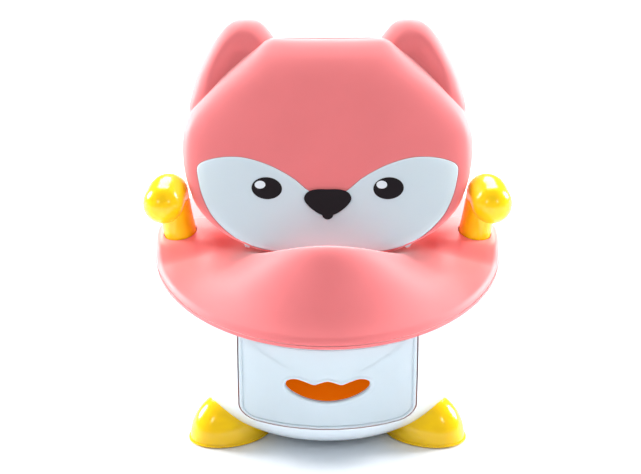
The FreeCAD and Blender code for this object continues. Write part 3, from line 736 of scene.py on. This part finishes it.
def drawer_outline(inset, count=240):
    """count even points on the drawer panel's outline in (x, z), its top edge following the rim."""
    half = DRAWER_HALF - inset
    bottom = DRAWER_BOTTOM + inset
    corner = max(2.0, DRAWER_CORNER - inset)
    points = []
    for side in (1, -1):
        for i in range(13):
            a = math.pi / 2 * i / 12
            a = a if side > 0 else math.pi / 2 - a
            points.append((side * (half - corner + corner * math.cos(a)),
                           bottom + corner - corner * math.sin(a)))
    points.reverse()
    top = []
    for i in range(49):
        x = half - 2 * half * i / 48
        y = -math.sqrt(DRAWER_TOP_R ** 2 - x ** 2)
        top.append((x, rim_level(y) - 2.0 - inset))
    ring = points + top + points[:1]
    lengths = [0.0]
    for a, b in zip(ring, ring[1:]):
        lengths.append(lengths[-1] + math.hypot(b[0] - a[0], b[1] - a[1]))
    result = []
    k = 0
    for i in range(count):
        want = lengths[-1] * i / count
        while lengths[k + 1] < want:
            k += 1
        t = (want - lengths[k]) / max(1e-9, lengths[k + 1] - lengths[k])
        result.append(Vector((ring[k][0] + (ring[k + 1][0] - ring[k][0]) * t,
                              ring[k][1] + (ring[k + 1][1] - ring[k][1]) * t, 0)))
    return result


def on_body(x, z, lift=0.0):
    """Point on the body's front at a place seen from the front, lifted out of the surface."""
    radius = body_radius(z)
    y = -math.sqrt(max(1.0, radius ** 2 - x ** 2))
    slope = body_radius(z + 0.5) - body_radius(z - 0.5)
    normal = Vector((x / radius, y / radius, -slope)).normalized()
    return Vector((x, y, z)) + normal * lift


# right half of the finger opening, as (across, height)
MOUTH = ((0, 80.0), (20, 83.2), (35, 90.5), (42.2, 98.0), (40.5, 105.2), (32, 108.2), (22.5, 105.5),
         (14.0, 102.2), (6.5, 104.8), (0, 106.8))


def make_body():
    shell = lathe("barrel", body_profile(0, BODY_TOP) + body_profile(WALL, BODY_TOP)[::-1], 256)
    combine(shell, tilted_top(-4.0), "DIFFERENCE")
    hole = drawer_outline(0)
    rings = [[Vector((p.x, y, p.y)) for p in hole] for y in (-260, -60)]
    combine(shell, rings_piece("drawer_cut", rings), "DIFFERENCE")
    smooth_by_angle(shell, 35)
    soften(shell, 0.7, 50)
    finish_piece(shell, "base", "white_body", ("body_shell",))


def seen_from(centre, outline, count):
    """count points of a closed line at even angles around centre."""
    result = []
    for i in range(count):
        angle = 2 * math.pi * i / count
        ray = Vector((math.cos(angle), math.sin(angle), 0))
        for a, b in zip(outline, outline[1:] + outline[:1]):
            along = b - a
            cross = ray.x * along.y - ray.y * along.x
            if abs(cross) < 1e-9:
                continue
            gap = a - centre
            t = (gap.x * along.y - gap.y * along.x) / cross
            share = (gap.x * ray.y - gap.y * ray.x) / cross
            if t > 0 and -1e-6 <= share <= 1 + 1e-6:
                result.append(centre + ray * t)
                break
    return result


# (inset, lift) pairs across the panel: the rounded rim with its groove, and the lip of the mouth
PANEL_RIM = ((0, -WALL), (0, -1.0), (0.25, -0.4), (0.8, -0.05), (1.5, 0.05), (2.9, 0.05), (3.4, -0.1),
             (3.7, -0.6), (3.8, -1.3), (4.5, -1.35), (4.8, -0.9), (5.6, -0.7))
MOUTH_LIP = ((-3.8, -0.45), (-3.0, 0.05), (-2.2, 0.3), (-1.4, 0.25), (-0.7, -0.1), (-0.2, -0.8), (0, -1.6),
             (0, -WALL))


def band(start, stop, lift, shares):
    """Rings on the body's surface at shares of the way between two outlines."""
    return [[on_body(*(a + (b - a) * t).xy, lift) for a, b in zip(start, stop)] for t in shares]


def make_drawer_front():
    """Curved panel with a raised rim and the mouth, and four posts that reach the tray."""
    count = 480
    centre = Vector((0, DRAWER_MIDDLE, 0))
    outer = seen_from(centre, drawer_outline(DRAWER_GAP * 0.6), count)
    mouth = seen_from(centre, mirrored_outline(MOUTH, 200), count)
    rings = [[on_body(p.x, p.y, lift) for p in shifted(outer, inset)] for inset, lift in PANEL_RIM]
    rings += band(shifted(outer, 7), shifted(mouth, -4.6), -0.6, [i / 40 for i in range(41)])
    rings += [[on_body(p.x, p.y, lift) for p in shifted(mouth, inset)] for inset, lift in MOUTH_LIP]
    rings += band(mouth, outer, -WALL, [i / 20 for i in range(1, 20)])
    rings.append(rings[0])
    panel = rings_piece("drawer_panel", rings, False)
    posts = []
    post_x, post_r = 66, 5.5
    for side in (-1, 1):
        for z in (66, 122):
            foot = Vector((side * post_x, TRAY_FRONT, z))
            length = TRAY_FRONT - on_body(side * (post_x + post_r), z - post_r, -1.6).y
            posts.append(rod_along("post", foot, Vector((0, 1, 0)), post_r, length, 32))
    join(panel, posts)
    smooth_by_angle(panel, 45)
    finish_piece(panel, "drawer", "white_panel", ("drawer_front",))


# ---- grips and feet --------------------------------------------------------
def make_grip(side, name):
    """Straight post that bends forwards into a thick round end."""
    axis = socket_axis(side)
    mouth = socket_mouth(side)
    foot = mouth - axis * (SOCKET_DEPTH - 0.4)
    elbow = mouth + axis * 36
    path = [foot, mouth + axis * 8, mouth + axis * 24,
            elbow + Vector((side * 1.3, 0.5, 4.0)), elbow + Vector((side * 3.2, -4.5, 11.5)),
            elbow + Vector((side * 5.8, -15.5, 14.5)), elbow + Vector((side * 9.0, -31, 11.0))]
    radii = [POST_R, POST_R, POST_R, POST_R + 1.2, POST_R + 2.8, KNOB_R + 0.4, KNOB_R + 1.0]
    lengths = lengths_along(path)
    knots = [(s,) + tuple(p) + (r,) for s, p, r in zip(lengths, path, radii)]
    count = 72
    steps = 60
    places = []
    for i in range(steps):
        x, y, z, r = curve_through(knots, lengths[-1] * i / (steps - 1))
        places.append((Vector((x, y, z)), r))
    end, end_r = places[-1]
    ahead = (end - places[-2][0]).normalized()
    for i in range(1, 20):
        a = math.pi / 2 * i / 20
        places.append((end + ahead * end_r * math.sin(a), end_r * math.cos(a)))
    rings = []
    across = Vector((1, 0, 0))
    for i, (place, radius) in enumerate(places):
        before, after = places[max(i - 1, 0)][0], places[min(i + 1, len(places) - 1)][0]
        along = (after - before).normalized()
        across = (across - along * across.dot(along)).normalized()
        rings.append(circle(place, across, along.cross(across), radius, count))
    grip = rings_piece("grip_" + name, rings)
    join(grip, [rod_along("tenon", foot, axis, 8.5, 29.6)])
    smooth_by_angle(grip, 50)
    finish_piece(grip, "base", "yellow_grip", ("handle_" + name,))


FOOT_TURN = math.radians(32)
FOOT_HEIGHT = 46.0
# place of the middle, half length and half width; the rear feet are smaller, so that the front ones hide them
FRONT_FOOT = (100, 57, 45, 33)
REAR_FOOT = (94, 60, 36, 30)


def make_foot(name, sx, sy):
    """Domed foot with a thin edge along the floor, cut to sit against the body."""
    base = node_mm(name)[0].z
    turn = math.atan2(sy * math.sin(FOOT_TURN), sx * math.cos(FOOT_TURN))
    centre_x, centre_y, half_long, half_wide = FRONT_FOOT if sy < 0 else REAR_FOOT
    middle = Vector((sx * centre_x, sy * centre_y, base))
    edge = 2.3
    profile = [(0.35, 0.0), (0.90, 0.0), (0.985, 0.0), (1.0, 0.35), (1.0, 1.5), (0.985, 2.0), (0.965, edge)]
    for i in range(1, 30):
        a = math.pi / 2 * i / 30
        profile.append((0.962 * math.cos(a) ** 0.95, edge + (FOOT_HEIGHT - edge) * math.sin(a)))
    count = 96
    rings = []
    for share, z in profile:
        ring = []
        for j in range(count):
            a = 2 * math.pi * j / count
            x, y = half_long * share * math.cos(a), half_wide * share * math.sin(a)
            ring.append(middle + Vector((x * math.cos(turn) - y * math.sin(turn),
                                         x * math.sin(turn) + y * math.cos(turn), z)))
        rings.append(ring)
    foot = rings_piece(name.replace("foot", "dome"), rings)
    body = lathe("body_form", body_profile(0, 150), 192, False)
    combine(foot, body, "DIFFERENCE")
    smooth_by_angle(foot, 40)
    finish_piece(foot, "base", "yellow_foot", (name,))


# ---- carried-over CAD nodes ------------------------------------------------
def dress_cad_nodes():
    """Gives each CAD node the material of its slot; the pieces that this file makes replace some."""
    for entry in frame["record"]["subparts"]:
        obj = frame["nodes"][entry["node"]]
        obj.data.materials.clear()
        obj.data.materials.append(materials[entry["material_slot"]])


# ---- stage -----------------------------------------------------------------
def make_stage():
    floor = new_piece("floor", [(-6000, -6000, 0), (6000, -6000, 0), (6000, 9000, 0), (-6000, 9000, 0)],
                      [(0, 1, 2, 3)], False)
    material = bpy.data.materials.new("floor")
    material.use_nodes = True
    shader = material.node_tree.nodes["Principled BSDF"]
    set_inputs(shader, {"Base Color": (0.93, 0.96, 1.0, 1), "Roughness": 0.6})
    floor.data.materials.append(material)
    world = bpy.data.worlds.new("studio")
    bpy.context.scene.world = world
    world.use_nodes = True
    set_inputs(world.node_tree.nodes["Background"], {"Color": (0.93, 0.97, 1.0, 1), "Strength": 0.38})
    bpy.context.scene.view_settings.view_transform = "Standard"


def add_sun(name, direction, strength, softness):
    light = bpy.data.lights.new(name, "SUN")
    light.energy = strength
    light.angle = math.radians(softness)
    obj = bpy.data.objects.new(name, light)
    obj.rotation_euler = Vector(direction).to_track_quat("-Z", "Y").to_euler()
    bpy.context.scene.collection.objects.link(obj)


def add_panel(name, place, target, width, height, power):
    light = bpy.data.lights.new(name, "AREA")
    light.shape = "RECTANGLE"
    light.size = width
    light.size_y = height
    light.energy = power
    obj = bpy.data.objects.new(name, light)
    obj.location = place
    aim = Vector(target) - Vector(place)
    obj.rotation_euler = aim.to_track_quat("-Z", "Y").to_euler()
    bpy.context.scene.collection.objects.link(obj)


def make_lights():
    add_sun("top_light", (0.0, -1.0, -1.0), 4.4, 36)
    add_sun("side_left", (1.0, -0.5, -0.45), 4.8, 28)
    add_sun("side_right", (-1.0, -0.5, -0.45), 4.8, 28)
    add_panel("front_left", (-1.3, -1.9, 1.5), (0, 0, 0.15), 0.30, 0.55, 6)
    add_panel("front_right", (1.3, -1.9, 1.5), (0, 0, 0.15), 0.30, 0.55, 6)


def make_camera():
    camera = bpy.data.cameras.new("camera")
    camera.sensor_width = 36
    camera.lens = 192.4
    camera.clip_end = 50
    obj = bpy.data.objects.new("camera", camera)
    aim = Vector((-7.2, 0, 195.0)) * MM
    rise = math.radians(23.5)
    obj.location = aim + Vector((0, -math.cos(rise), math.sin(rise))) * 3.5
    obj.rotation_euler = (aim - obj.location).to_track_quat("-Z", "Y").to_euler()
    bpy.context.scene.collection.objects.link(obj)
    bpy.context.scene.camera = obj


make_camera()
make_materials()
dress_cad_nodes()
make_seat()
make_head()
make_body()
make_drawer_front()
for grip_side, grip_name in ((-1, "left"), (1, "right")):
    make_grip(grip_side, grip_name)
for foot_name, foot_sx, foot_sy in (("foot_front_left", -1, -1), ("foot_front_right", 1, -1),
                                    ("foot_rear_left", -1, 1), ("foot_rear_right", 1, 1)):
    make_foot(foot_name, foot_sx, foot_sy)
make_stage()
make_lights()

bpy.context.view_layer.update()
